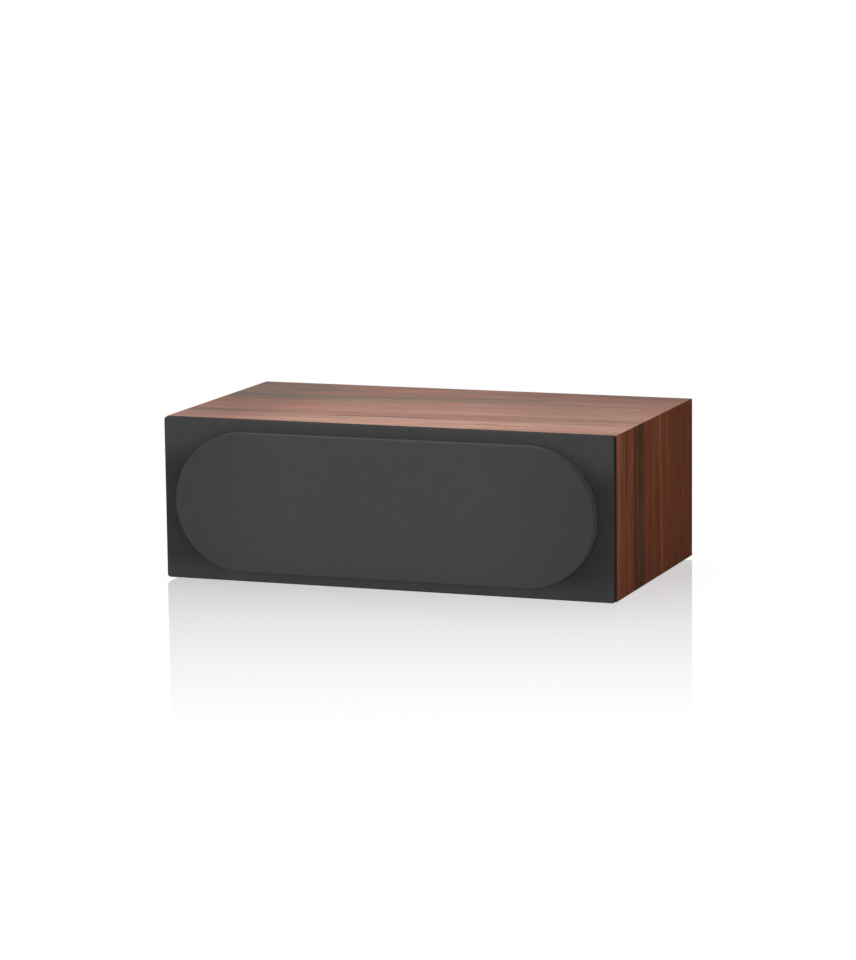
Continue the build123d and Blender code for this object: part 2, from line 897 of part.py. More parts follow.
def countersunk_screws(name, plane, places):
    """Countersunk hexagon socket screws with their heads level with a plane, at places on it."""
    head_height = (screw_head - screw_shank) / 2
    top = (Align.CENTER, Align.CENTER, Align.MAX)
    with BuildPart() as screws:
        for x, y in places:
            with Locations(plane):
                with Locations((x, y, 0)):
                    Cone(screw_shank / 2, screw_head / 2, head_height, align=top)
                    Cylinder(screw_shank / 2, screw_length, align=top)
        with BuildSketch(plane):
            with Locations(*places):
                RegularPolygon(screw_hex / 2, 6, major_radius=False)
        extrude(amount=-screw_hex_depth, mode=Mode.SUBTRACT)
    save(screws.part, name)


def polar_places(x, radius):
    """Places of one driver's screws on the baffle's face."""
    spots = PolarLocations(radius, screws_per_driver, screw_start_angle).local_locations
    return [(x + spot.position.X, spot.position.Y) for spot in spots]


driver_screw_places = (
    polar_places(-woofer_x, woofer_screw_r)
    + polar_places(0, tweeter_screw_r)
    + polar_places(woofer_x, woofer_screw_r)
)
countersunk_screws("driver_screws", front_plane(0), driver_screw_places)


# Ports
def port_tube(name, x):
    """A moulded port: flange and flare outside the rear panel, tube and a smaller flare inside."""
    section = port_section(x)
    outer_r = bore_r + port_wall
    flare_r = bore_r + port_flare
    inner_flare_r = bore_r + port_inner_flare
    inner_start = port_length - port_inner_flare
    arc_point = sqrt(0.5)
    with BuildPart() as tube:
        with BuildSketch(section):
            with BuildLine():
                ThreePointArc(
                    (flare_r, -port_wall),
                    (flare_r - port_flare * arc_point, port_flare - port_wall - port_flare * arc_point),
                    (bore_r, port_flare - port_wall),
                )
                Line((bore_r, port_flare - port_wall), (bore_r, inner_start))
                ThreePointArc(
                    (bore_r, inner_start),
                    (
                        inner_flare_r - port_inner_flare * arc_point,
                        inner_start + port_inner_flare * arc_point,
                    ),
                    (inner_flare_r, port_length),
                )
                Line((inner_flare_r, port_length), (inner_flare_r, port_length - port_wall))
                ThreePointArc(
                    (inner_flare_r, port_length - port_wall),
                    (
                        inner_flare_r - (port_inner_flare - port_wall) * arc_point,
                        inner_start + (port_inner_flare - port_wall) * arc_point,
                    ),
                    (outer_r, inner_start),
                )
                Line((outer_r, inner_start), (outer_r, port_flare - port_wall))
                ThreePointArc(
                    (outer_r, port_flare - port_wall),
                    (
                        flare_r - (port_flare - port_wall) * arc_point,
                        port_flare - port_wall - (port_flare - port_wall) * arc_point,
                    ),
                    (flare_r, 0),
                )
                Polyline(
                    (flare_r, 0),
                    (port_flange_r, 0),
                    (port_flange_r, -port_wall),
                    (flare_r, -port_wall),
                )
            make_face()
        revolve(axis=turning_axis(section))
    save(tube.part, name)


port_tube("left_port_tube", -woofer_x)
port_tube("right_port_tube", woofer_x)

# Terminal plate
with BuildPart() as terminal_plate:
    with BuildSketch(rear_plane(panel_y)):
        RectangleRounded(terminal_width, terminal_height, terminal_corner)
        with GridLocations(post_spacing, 0, 2, 1):
            Circle(post_thread / 2 + post_fit, mode=Mode.SUBTRACT)
    extrude(amount=terminal_thickness)
    fillet(terminal_plate.faces().sort_by(Axis.Y)[-1].outer_wire().edges(), terminal_round)
    with Locations(rear_plane(plate_y)):
        with GridLocations(*terminal_grid, 2, 2):
            CounterSinkHole(screw_shank / 2 + screw_fit, screw_head / 2 + screw_fit, terminal_thickness, 90)
save(terminal_plate.part, "terminal_plate")

terminal_spots = GridLocations(*terminal_grid, 2, 2).local_locations
terminal_screw_places = [(spot.position.X, spot.position.Y) for spot in terminal_spots]
countersunk_screws("terminal_screws", rear_plane(plate_y), terminal_screw_places)


# Binding posts
def binding_post(name, x):
    """The turned stud: threaded tail, collar, and a shaft with a plug socket and a cross hole for wire."""
    section = post_section(x)
    shaft_r = post_diameter / 2
    thread_r = post_thread / 2
    outline = [
        (0, -post_tail),
        (thread_r, -post_tail),
        (thread_r, 0),
        (post_collar / 2, 0),
        (post_collar / 2, post_collar_thickness),
        (shaft_r, post_collar_thickness),
        (shaft_r, post_length),
        (post_bore / 2, post_length),
        (post_bore / 2, post_length - post_bore_depth),
        (0, post_length - post_bore_depth),
    ]
    wire_y = plate_y + post_collar_thickness + post_wire_height
    with BuildPart() as post:
        with BuildSketch(section):
            with BuildLine():
                Polyline(*outline, close=True)
            make_face()
        revolve(axis=turning_axis(section))
        with BuildSketch(Plane(origin=(x, wire_y, axis_z))):
            Circle(post_wire_hole / 2)
        extrude(amount=post_diameter, both=True, mode=Mode.SUBTRACT)
    save(post.part, name)


def post_cap(name, x):
    """The screw cap: a plastic grip with grooves along it, bored for the stud."""
    section = post_section(x)
    start = post_collar_thickness + washer_thickness
    end = start + cap_length
    outer_r = cap_diameter / 2
    with BuildPart() as cap:
        with BuildSketch(section):
            with BuildLine():
                Polyline(
                    (post_diameter / 2 + post_fit, start),
                    (outer_r - cap_chamfer, start),
                    (outer_r, start + cap_chamfer),
                    (outer_r, end - cap_chamfer),
                    (outer_r - cap_chamfer, end),
                    (post_diameter / 2 + post_fit, end),
                    close=True,
                )
            make_face()
        revolve(axis=turning_axis(section))
        with BuildSketch(rear_plane(plate_y + start, x)):
            with PolarLocations(outer_r, cap_grooves):
                Circle(cap_groove / 2)
        extrude(amount=cap_length, mode=Mode.SUBTRACT)
    save(cap.part, name)


def clamp_washer(name, x):
    """The loose washer under a cap."""
    with BuildPart() as washer:
        with BuildSketch(rear_plane(plate_y + post_collar_thickness, x)):
            Circle(washer_diameter / 2)
            Circle(post_diameter / 2 + post_fit, mode=Mode.SUBTRACT)
        extrude(amount=washer_thickness)
    save(washer.part, name)


for pole, x in (("positive", post_spacing / 2), ("negative", -post_spacing / 2)):
    binding_post(f"{pole}_post", x)
    clamp_washer(f"{pole}_clamp_washer", x)
    post_cap(f"{pole}_cap", x)

with BuildPart() as post_nuts:
    with BuildSketch(rear_plane(panel_y)):
        with GridLocations(post_spacing, 0, 2, 1):
            RegularPolygon(nut_across_corners / 2, 6)
            Circle(post_thread / 2 + post_fit, mode=Mode.SUBTRACT)
    extrude(amount=-nut_thickness)
save(post_nuts.part, "post_nuts")

# Crossover board and its snap-in supports
with BuildPart() as crossover_board:
    with BuildSketch(floor_plane(board_z, y=board_y)):
        RectangleRounded(board_length, board_width, board_corner)
        with GridLocations(*support_grid, 2, 2):
            Circle(support_neck / 2 + support_fit, mode=Mode.SUBTRACT)
    extrude(amount=board_thickness)
save(crossover_board.part, "crossover_board")

head_base = support_height + board_thickness + support_fit
with BuildPart() as board_supports:
    for support in GridLocations(*support_grid, 2, 2).local_locations:
        foot = floor_plane(floor_z, support.position.X, board_y + support.position.Y)
        section = Plane(origin=foot.origin, x_dir=(1, 0, 0), z_dir=(0, -1, 0))
        with BuildSketch(section):
            with BuildLine():
                Polyline(
                    (0, -support_peg_depth),
                    (support_peg / 2, -support_peg_depth),
                    (support_peg / 2, 0),
                    (support_diameter / 2, 0),
                    (support_diameter / 2, support_height),
                    (support_neck / 2, support_height),
                    (support_neck / 2, head_base),
                    (support_head / 2, head_base),
                    (support_neck / 2, head_base + support_head_height),
                    (0, head_base + support_head_height),
                    close=True,
                )
            make_face()
        revolve(axis=Axis(foot.origin, (0, 0, 1)))
save(board_supports.part, "board_supports")


# Crossover components, standing on the board at places given from its middle, as shares of its sides
woofer_coil_place = (-0.30 * board_length, -0.045 * board_width)
tweeter_coil_place = (-0.03 * board_length, -0.11 * board_width)
round_capacitor_place = (0.21 * board_length, -0.20 * board_width)
box_capacitor_place = (0.24 * board_length, 0.11 * board_width)
resistor_place = (-0.25 * board_length, 0.33 * board_width)


def wound_coil(name, x, y, outer, bore, coil_height):
    """A wound air coil lying flat on the board."""
    with BuildPart() as coil:
        with BuildSketch(floor_plane(board_top, x, board_y + y)):
            Circle(outer / 2)
            Circle(bore / 2, mode=Mode.SUBTRACT)
        extrude(amount=coil_height)
        fillet(coil.edges().group_by(Axis.Z)[-1], coil_round)
    save(coil.part, name)


def block_component(name, x, y, length, depth, block_height):
    """A moulded block standing on the board."""
    with BuildPart() as block:
        with BuildSketch(floor_plane(board_top, x, board_y + y)):
            Rectangle(length, depth)
        extrude(amount=block_height)
        fillet(block.edges().group_by(Axis.Z)[-1], component_round)
    save(block.part, name)


wound_coil(
    "woofer_inductor",
    *woofer_coil_place,
    woofer_coil_diameter,
    woofer_coil_bore,
    woofer_coil_height,
)
wound_coil(
    "tweeter_inductor",
    *tweeter_coil_place,
    tweeter_coil_diameter,
    tweeter_coil_bore,
    tweeter_coil_height,
)
block_component(
    "tweeter_capacitor",
    *box_capacitor_place,
    box_capacitor_length,
    box_capacitor_width,
    box_capacitor_height,
)
block_component("power_resistor", *resistor_place, resistor_length, resistor_width, resistor_height)
with BuildPart() as woofer_capacitor:
    with BuildSketch(
        floor_plane(board_top, round_capacitor_place[0], board_y + round_capacitor_place[1])
    ):
        Circle(round_capacitor_diameter / 2)
    extrude(amount=round_capacitor_height)
    fillet(woofer_capacitor.edges().group_by(Axis.Z)[-1], component_round)
save(woofer_capacitor.part, "woofer_capacitor")

# Internal leads: from the posts to the board, and from the board to each driver
board_front_y = board_y - board_width / 2 + lead_edge_inset
board_rear_y = board_y + board_width / 2 - lead_edge_inset
post_tail_y = plate_y - post_tail
tag_y = face_y + tag_back - tag_thickness / 2
tag_tip = woofer_x - seat_r - tag_length + surround_fit
tweeter_lead_z = axis_z - tweeter_lead_drop
lead_routes = [
    (
        [(x, post_tail_y, axis_z), (x, board_rear_y, axis_z), (x, board_rear_y, board_top)],
        input_lead,
        input_bend,
    )
    for x in (-post_spacing / 2, post_spacing / 2)
]
lead_routes.append(
    (
        [
            (0, board_front_y, board_top),
            (0, board_front_y, tweeter_lead_z),
            (0, face_y + tweeter_depth, tweeter_lead_z),
        ],
        driver_lead,
        lead_bend,
    )
)
for side in (-1, 1):
    lead_routes.append(
        (
            [
                (side * woofer_lead_x, board_front_y, board_top),
                (side * woofer_lead_x, board_front_y, axis_z),
                (side * woofer_lead_x, tag_y, axis_z),
                (side * tag_tip, tag_y, axis_z),
            ],
            driver_lead,
            lead_bend,
        )
    )
with BuildPart() as internal_leads:
    for points, lead_diameter, bend in lead_routes:
        with BuildLine() as route:
            FilletPolyline(*points, radius=bend)
        with BuildSketch(Plane(origin=route.line @ 0, z_dir=route.line % 0)):
            Circle(lead_diameter / 2)
        sweep(path=route.line)
save(internal_leads.part, "internal_leads")
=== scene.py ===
import math
from collections import namedtuple

import bpy
from mathutils import Matrix, Vector
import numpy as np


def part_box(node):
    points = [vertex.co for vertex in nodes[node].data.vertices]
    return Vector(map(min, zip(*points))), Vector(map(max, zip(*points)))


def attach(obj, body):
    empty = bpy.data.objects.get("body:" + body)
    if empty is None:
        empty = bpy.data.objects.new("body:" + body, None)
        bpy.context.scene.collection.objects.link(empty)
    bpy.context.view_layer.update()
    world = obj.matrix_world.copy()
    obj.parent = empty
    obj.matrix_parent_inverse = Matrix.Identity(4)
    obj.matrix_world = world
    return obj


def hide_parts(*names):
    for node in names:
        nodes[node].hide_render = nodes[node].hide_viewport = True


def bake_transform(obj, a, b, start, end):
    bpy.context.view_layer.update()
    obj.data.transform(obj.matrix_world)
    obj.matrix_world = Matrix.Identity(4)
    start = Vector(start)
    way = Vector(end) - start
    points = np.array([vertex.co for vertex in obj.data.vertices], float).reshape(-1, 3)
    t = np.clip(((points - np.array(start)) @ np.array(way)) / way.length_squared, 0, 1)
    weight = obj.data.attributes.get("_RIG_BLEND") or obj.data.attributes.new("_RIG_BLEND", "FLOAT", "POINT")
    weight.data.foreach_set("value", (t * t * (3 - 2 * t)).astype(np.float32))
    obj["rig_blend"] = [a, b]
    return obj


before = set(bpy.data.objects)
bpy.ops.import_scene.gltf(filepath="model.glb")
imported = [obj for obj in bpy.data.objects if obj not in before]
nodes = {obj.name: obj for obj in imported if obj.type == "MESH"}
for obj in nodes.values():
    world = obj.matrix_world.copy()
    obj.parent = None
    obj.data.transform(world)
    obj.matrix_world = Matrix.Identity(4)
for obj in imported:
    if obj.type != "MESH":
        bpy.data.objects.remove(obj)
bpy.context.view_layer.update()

# Places of the speaker's parts, in metres, from the CAD nodes
sleeve_low, sleeve_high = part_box("top_panel")
half_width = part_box("right_panel")[1].x
half_height = (sleeve_high.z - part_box("bottom_panel")[0].z) / 2
face_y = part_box("front_baffle")[0].y
cloth_low, cloth_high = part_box("grille_cloth")
axis_z = (cloth_low.z + cloth_high.z) / 2
woofer_x = sum(corner.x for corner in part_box("right_woofer_surround")) / 2


# Camera, as the photograph was taken
def photograph_camera():
    """A long lens in front of the speaker, a little to its right and above it."""
    azimuth, elevation, roll = math.radians(20.365), math.radians(9.431), math.radians(-0.649)
    target = Vector((-0.00541, -0.0025, 0.09202))
    distance = 3.89304
    focal_pixels, longer_side_pixels = 3766.8, 960
    sensor_width = 36
    back = Vector(
        (
            math.sin(azimuth) * math.cos(elevation),
            -math.cos(azimuth) * math.cos(elevation),
            math.sin(elevation),
        )
    )
    level_right = (-back).cross(Vector((0, 0, 1))).normalized()
    level_up = level_right.cross(-back)
    right = math.cos(roll) * level_right + math.sin(roll) * level_up
    up = math.cos(roll) * level_up - math.sin(roll) * level_right
    place = target + back * distance
    bpy.ops.object.camera_add()
    camera = bpy.context.object
    camera.name = "photograph_camera"
    camera.matrix_world = Matrix(
        (
            (right.x, up.x, back.x, place.x),
            (right.y, up.y, back.y, place.y),
            (right.z, up.z, back.z, place.z),
            (0, 0, 0, 1),
        )
    )
    camera.data.sensor_width = sensor_width
    camera.data.lens = focal_pixels * sensor_width / longer_side_pixels
    camera.data.clip_end = 60
    bpy.context.scene.camera = camera


photograph_camera()
bpy.context.scene.view_settings.view_transform = "Standard"

# Building materials node by node
noise_span = (0.3, 0.7)  # most of a noise's values lie between these


def grey(level):
    """A grey as a colour."""
    return (level, level, level)


def opaque(colour):
    """A colour as a socket takes it."""
    return (*colour, 1)


def new_finish(name, colour, roughness, **sockets):
    """A material with its plain values on the shader's own sockets."""
    finish = bpy.data.materials.new(name)
    finish.use_nodes = True
    shader = shader_of(finish)
    shader.inputs["Base Color"].default_value = opaque(colour)
    shader.inputs["Roughness"].default_value = roughness
    for socket, value in sockets.items():
        shader.inputs[socket.replace("_", " ")].default_value = value
    return finish


def shader_of(finish):
    """The node that a finish is shaded by."""
    return finish.node_tree.nodes["Principled BSDF"]


def link(finish, output, socket):
    """Feed a socket from another node's output."""
    finish.node_tree.links.new(output, socket)


def add_node(finish, kind, settings=None, **inputs):
    """A node with its settings, and its inputs by name, or by number as i0 and so on. Outputs are linked."""
    node = finish.node_tree.nodes.new(kind)
    for name, value in (settings or {}).items():
        setattr(node, name, value)
    for name, value in inputs.items():
        key = int(name[1:]) if name[0] == "i" and name[1:].isdigit() else name.replace("_", " ")
        if isinstance(value, bpy.types.NodeSocket):
            link(finish, value, node.inputs[key])
        else:
            node.inputs[key].default_value = value
    return node


def maths(finish, operation, first, second=0.0, clamp=False):
    """The result of one sum."""
    settings = {"operation": operation, "use_clamp": clamp}
    return add_node(finish, "ShaderNodeMath", settings, i0=first, i1=second).outputs[0]


def summed(finish, *values):
    """Any number of values added up."""
    total = values[0]
    for value in values[1:]:
        total = maths(finish, "ADD", total, value)
    return total


def place_of(finish):
    """Where a point is on the speaker, in metres."""
    return finish.node_tree.nodes.new("ShaderNodeTexCoord").outputs["Object"]


def separate(finish, place):
    """A place's distances along X, Y and Z."""
    return add_node(finish, "ShaderNodeSeparateXYZ", Vector=place).outputs


def off_centre(finish, axis, centre=0.0):
    """How far a point is from the middle of the speaker along one axis, in metres."""
    along = separate(finish, place_of(finish))[axis]
    return maths(finish, "ABSOLUTE", maths(finish, "SUBTRACT", along, centre))


def stretched(finish, place, scale, offset=(0, 0, 0)):
    """The place with each axis scaled."""
    return add_node(finish, "ShaderNodeMapping", Vector=place, Scale=scale, Location=offset).outputs[0]


def noise(finish, place, detail=2.0, roughness=0.5):
    """Cloudy values about 0.5, one cloud to each unit of the place."""
    node = add_node(
        finish, "ShaderNodeTexNoise", Vector=place, Scale=1.0, Detail=detail, Roughness=roughness
    )
    return node.outputs["Fac"]


def ranged(finish, value, low, high, to_low=0.0, to_high=1.0, smooth=False):
    """A value brought from one range to another, held at the ends."""
    settings = {"clamp": True, "interpolation_type": "SMOOTHSTEP" if smooth else "LINEAR"}
    node = add_node(
        finish, "ShaderNodeMapRange", settings, i0=value, i1=low, i2=high, i3=to_low, i4=to_high
    )
    return node.outputs[0]


def graded(finish, value, stops):
    """A colour ramp. Each stop is a position and a colour or a grey."""
    node = add_node(finish, "ShaderNodeValToRGB", Fac=value)
    ramp = node.color_ramp
    for i, (position, colour) in enumerate(stops):
        stop = ramp.elements[i] if i < 2 else ramp.elements.new(position)
        stop.position = position
        stop.color = opaque(colour if isinstance(colour, tuple) else grey(colour))
    return node.outputs["Color"]


def mixed(finish, share, first, second):
    """Two colours mixed by a share."""
    return add_node(
        finish, "ShaderNodeMix", {"data_type": "RGBA"}, i0=share, i6=first, i7=second
    ).outputs[2]


def bumped(finish, height, depth, strength=1.0):
    """Raise the surface by a height from 0 to 1, over a depth in metres."""
    node = add_node(finish, "ShaderNodeBump", Height=height, Distance=depth, Strength=strength)
    link(finish, node.outputs[0], shader_of(finish).inputs["Normal"])


def worked_surface(name, tones, grain, roughness, bump, **sockets):
    """A finish with two tones in soft patches, a fine grain in metres, and uneven gloss."""
    grain_to_patch = 0.06
    patch_share, speck_share = 0.6, 0.4
    tone_span = (0.35, 0.65)
    finish = new_finish(name, tones[0], roughness[0], **sockets)
    place = place_of(finish)
    patch = noise(finish, stretched(finish, place, [grain_to_patch / grain] * 3), detail=4.0)
    speck = noise(finish, stretched(finish, place, [1 / grain] * 3), detail=3.0, roughness=0.6)
    share = summed(
        finish, maths(finish, "MULTIPLY", patch, patch_share), maths(finish, "MULTIPLY", speck, speck_share)
    )
    colour = mixed(finish, ranged(finish, share, *tone_span), opaque(tones[0]), opaque(tones[1]))
    link(finish, colour, shader_of(finish).inputs["Base Color"])
    link(finish, ranged(finish, patch, *noise_span, *roughness), shader_of(finish).inputs["Roughness"])
    bumped(finish, speck, bump)
    return finish


def ringed(name, tones, pitch, centres, roughness, bump, **sockets):
    """A finish with fine rings round some axes that point to the front, as turned or wound work has."""
    specks_per_metre = 1400
    ring_share, speck_share = (0.1, 0.4), (0, 0.5)
    finish = new_finish(name, tones[0], roughness, **sockets)
    axes = separate(finish, place_of(finish))
    nearest = None
    for x in centres:
        aside = maths(finish, "POWER", maths(finish, "SUBTRACT", axes["X"], x), 2)
        above = maths(finish, "POWER", maths(finish, "SUBTRACT", axes["Z"], axis_z), 2)
        radius = maths(finish, "SQRT", summed(finish, aside, above))
        nearest = radius if nearest is None else maths(finish, "MINIMUM", nearest, radius)
    ring = maths(finish, "SINE", maths(finish, "MULTIPLY", nearest, 2 * math.pi / pitch))
    speck = noise(finish, stretched(finish, place_of(finish), [specks_per_metre] * 3), detail=3.0)
    share = summed(
        finish, ranged(finish, ring, -1, 1, *ring_share), ranged(finish, speck, *noise_span, *speck_share)
    )
    colour = mixed(finish, share, opaque(tones[0]), opaque(tones[1]))
    link(finish, colour, shader_of(finish).inputs["Base Color"])
    bumped(finish, summed(finish, ring, speck), bump)
    return finish


# Rosewood veneer, from dark to pale
olive_tones = [
    (0.0, (0.03, 0.019, 0.013)),
    (0.36, (0.12, 0.066, 0.036)),
    (0.8, (0.36, 0.21, 0.135)),
    (1.0, (0.5, 0.31, 0.21)),
]
red_tones = [
    (0.0, (0.034, 0.013, 0.009)),
    (0.36, (0.2, 0.051, 0.019)),
    (0.8, (0.42, 0.165, 0.11)),
    (1.0, (0.58, 0.28, 0.19)),
]
dark_olive, dark_red, middle_red = olive_tones[0][1], red_tones[0][1], red_tones[1][1]
dark_board, pale_board = [tuple(shade * c for c in (0.34, 0.23, 0.14)) for shade in (0.8, 1.15)]
veneer_back = 0.0145

# A streak has its place and half its breadth as shares of the panel's depth, what it adds to tone and hue,
# and where along the grain it fades in
Streak = namedtuple("Streak", "place breadth tone hue fade", defaults=(None,))
to_left, to_right = (-0.08, -0.2), (0.0, 0.16)
to_bottom, to_top = (axis_z, 0.01), (axis_z, 0.16)


def rosewood(name, along, tones, hues, streaks, ends, gloss, figuring, wander, slant=0.0):
    """Veneer with its grain along one axis, and bare board inside the cabinet.

    Tones run from dark to pale and hues from olive to red, each from the front edge to the rear edge, and
    streaks add to both. Towards each end of the grain it is a share as pale. The gloss is the refraction of
    its lacquer. The figuring is how strong the figure is, the wander how far it strays, in metres, and the
    slant how far it runs off the grain.
    """
    fibre_span, fibre_strength = (0.25, 0.75), 0.7 * figuring
    blush_strength = 0.45
    vein_span, vein_share = (0.6, 0.68), 0.6
    pore_span, pore_share = (0.6, 0.72), 0.55
    roughness = (0.3, 0.4)
    fibre_depth = 0.00005
    finish = new_finish(name, middle_red, roughness=0.34, IOR=gloss)
    place = place_of(finish)
    run = separate(finish, place)[along]

    def grain(length, width, offset=(0, 0, 0), line=place):
        scale = [1 / length if axis == along else 1 / width for axis in "XYZ"]
        return stretched(finish, line, scale, offset)

    drift = noise(finish, grain(length=0.25, width=0.11), detail=2.0)
    drift = maths(finish, "MULTIPLY", maths(finish, "SUBTRACT", drift, 0.5), wander)
    drift = summed(finish, drift, maths(finish, "MULTIPLY", run, slant))
    shift = add_node(finish, "ShaderNodeCombineXYZ", Y=drift).outputs[0]
    wavy = add_node(finish, "ShaderNodeVectorMath", {"operation": "ADD"}, i0=place, i1=shift).outputs[0]
    depth = ranged(finish, separate(finish, wavy)["Y"], sleeve_low.y, sleeve_high.y)

    tone, hue = graded(finish, depth, tones), graded(finish, depth, hues)
    for fade, share in ends:
        tone = maths(finish, "MULTIPLY", tone, ranged(finish, run, *fade, 1, share, smooth=True))
    for streak in streaks:
        apart = maths(finish, "ABSOLUTE", maths(finish, "SUBTRACT", depth, streak.place))
        share = ranged(finish, apart, streak.breadth, 0, smooth=True)
        if streak.fade:
            share = maths(finish, "MULTIPLY", share, ranged(finish, run, *streak.fade, smooth=True))
        tone = summed(finish, tone, maths(finish, "MULTIPLY", share, streak.tone))
        hue = summed(finish, hue, maths(finish, "MULTIPLY", share, streak.hue))

    figure = noise(finish, grain(length=0.11, width=0.012, line=wavy), detail=5.0, roughness=0.66)
    fibre = noise(finish, grain(length=0.036, width=0.0024, line=wavy), detail=4.0, roughness=0.72)
    tone = summed(
        finish,
        tone,
        ranged(finish, figure, *noise_span, -figuring, figuring),
        ranged(finish, fibre, *fibre_span, -fibre_strength, fibre_strength),
    )
    blush = grain(length=0.09, width=0.016, offset=(7, 2, 4), line=wavy)
    blush = noise(finish, blush, detail=3.0, roughness=0.6)
    hue = summed(finish, hue, ranged(finish, blush, *noise_span, -blush_strength, blush_strength))
    hue = ranged(finish, hue, 0.0, 1.0)
    wood = mixed(finish, hue, graded(finish, tone, olive_tones), graded(finish, tone, red_tones))

    vein = grain(length=0.3, width=0.011, offset=(3, 5, 1), line=wavy)
    vein = noise(finish, vein, detail=4.0, roughness=0.55)
    wood = mixed(finish, ranged(finish, vein, *vein_span, 0, vein_share), wood, opaque(dark_olive))
    pore = noise(finish, grain(length=0.012, width=0.0006), detail=2.0)
    wood = mixed(finish, ranged(finish, pore, *pore_span, 0, pore_share), wood, opaque(dark_red))

    inside = maths(
        finish,
        "MULTIPLY",
        maths(finish, "LESS_THAN", off_centre(finish, "X"), half_width - veneer_back),
        maths(finish, "LESS_THAN", off_centre(finish, "Z", axis_z), half_height - veneer_back),
    )
    bare = mixed(finish, fibre, opaque(dark_board), opaque(pale_board))
    link(finish, mixed(finish, inside, wood, bare), shader_of(finish).inputs["Base Color"])
    link(finish, ranged(finish, fibre, *noise_span, *roughness), shader_of(finish).inputs["Roughness"])
    bumped(finish, maths(finish, "SUBTRACT", fibre, ranged(finish, pore, *pore_span)), fibre_depth)
    return finish


rosewood_along = rosewood(
    "rosewood_along",
    along="X",
    tones=[(0.0, 0.9), (0.07, 0.98), (0.38, 0.77), (0.55, 0.63), (0.8, 0.5), (1.0, 0.46)],
    hues=[(0.0, 0.62), (0.5, 0.68), (1.0, 0.6)],
    streaks=[
        Streak(place=0.26, breadth=0.09, tone=-0.2, hue=-0.1),
        Streak(place=0.68, breadth=0.12, tone=-0.12, hue=-0.65, fade=to_right[::-1]),
        Streak(place=1.0, breadth=0.3, tone=-0.2, hue=-0.05, fade=to_right),
        Streak(place=0.85, breadth=0.25, tone=0.02, hue=-0.4, fade=to_left),
    ],
    ends=[(to_left, 0.62), (to_right, 0.92)],
    gloss=1.085,
    figuring=0.15,
    wander=0.03,
    slant=-0.06,
)
# Side panels. Their tones run darker than the top panel's: partly the veneer's own colour, partly painted
# shade of the sides.
rosewood_upright = rosewood(
    "rosewood_upright",
    along="Z",
    tones=[(0.0, 0.49), (0.14, 0.4), (0.4, 0.345), (0.66, 0.33), (0.75, 0.28), (1.0, 0.27)],
    hues=[(0.0, 1.0), (0.8, 0.95), (1.0, 0.85)],
    streaks=[
        # Partly the veneer's pale front strip, partly painted light: it fades in towards the top.
        Streak(place=0.0, breadth=0.14, tone=0.07, hue=0.0, fade=to_top),
        Streak(place=0.235, breadth=0.03, tone=-0.12, hue=-0.3),
        Streak(place=0.305, breadth=0.08, tone=-0.21, hue=-0.65),
        Streak(place=0.575, breadth=0.02, tone=0.15, hue=0.0),
    ],
    # Painted light and shade: paler towards the top and darker towards the bottom.
    ends=[(to_bottom, 0.92), (to_top, 1.07)],
    gloss=1.017,
    figuring=0.1,
    wander=0.018,
)


# Baffle
def matt_baffle():
    """A fine-grained black paint, with painted shade darkening it in the middle of each end, on the cut edges
    and along the sides.
    """
    # Painted shade: a near-black mixed into the paint where shade falls.
    painted_shade_black = grey(0.008)
    shade_end_span, shade_end_share = (0.15, 0.21), 0.5
    shade_waist_z, shade_waist_span, past_shade_waist = axis_z - 0.012, (0.075, 0.04), 0.25
    shaded_edge_span, shaded_edge_share = (0.0012, 0.003), 0.5
    shaded_side_span, shaded_side_share = (half_width - 0.0012, half_width - 0.0004), 0.82
    finish = worked_surface(
        "baffle_matt_black",
        (grey(0.062), grey(0.07)),
        grain=0.0009,
        roughness=(0.5, 0.6),
        bump=0.00001,
        IOR=1.03,
    )
    # Painted shade: darker in the middle of each end, beside the grille's proud half-round ends.
    ends = ranged(finish, off_centre(finish, "X"), *shade_end_span, smooth=True)
    shade_waist = ranged(finish, off_centre(finish, "Z", shade_waist_z), *shade_waist_span, past_shade_waist, 1, smooth=True)
    share = maths(finish, "MULTIPLY", maths(finish, "MULTIPLY", ends, shade_waist), shade_end_share)
    behind = maths(finish, "SUBTRACT", separate(finish, place_of(finish))["Y"], face_y)
    # Painted shade: the cut edges and the left and right sides of the baffle are darkened where they turn
    # away from the light.
    edges = ranged(finish, behind, *shaded_edge_span, 0, shaded_edge_share, smooth=True)
    shaded_sides = ranged(finish, off_centre(finish, "X"), *shaded_side_span, 0, shaded_side_share)
    share = maths(finish, "MAXIMUM", maths(finish, "MAXIMUM", share, edges), shaded_sides)
    base = shader_of(finish).inputs["Base Color"]
    link(finish, mixed(finish, share, base.links[0].from_socket, opaque(painted_shade_black)), base)
    return finish


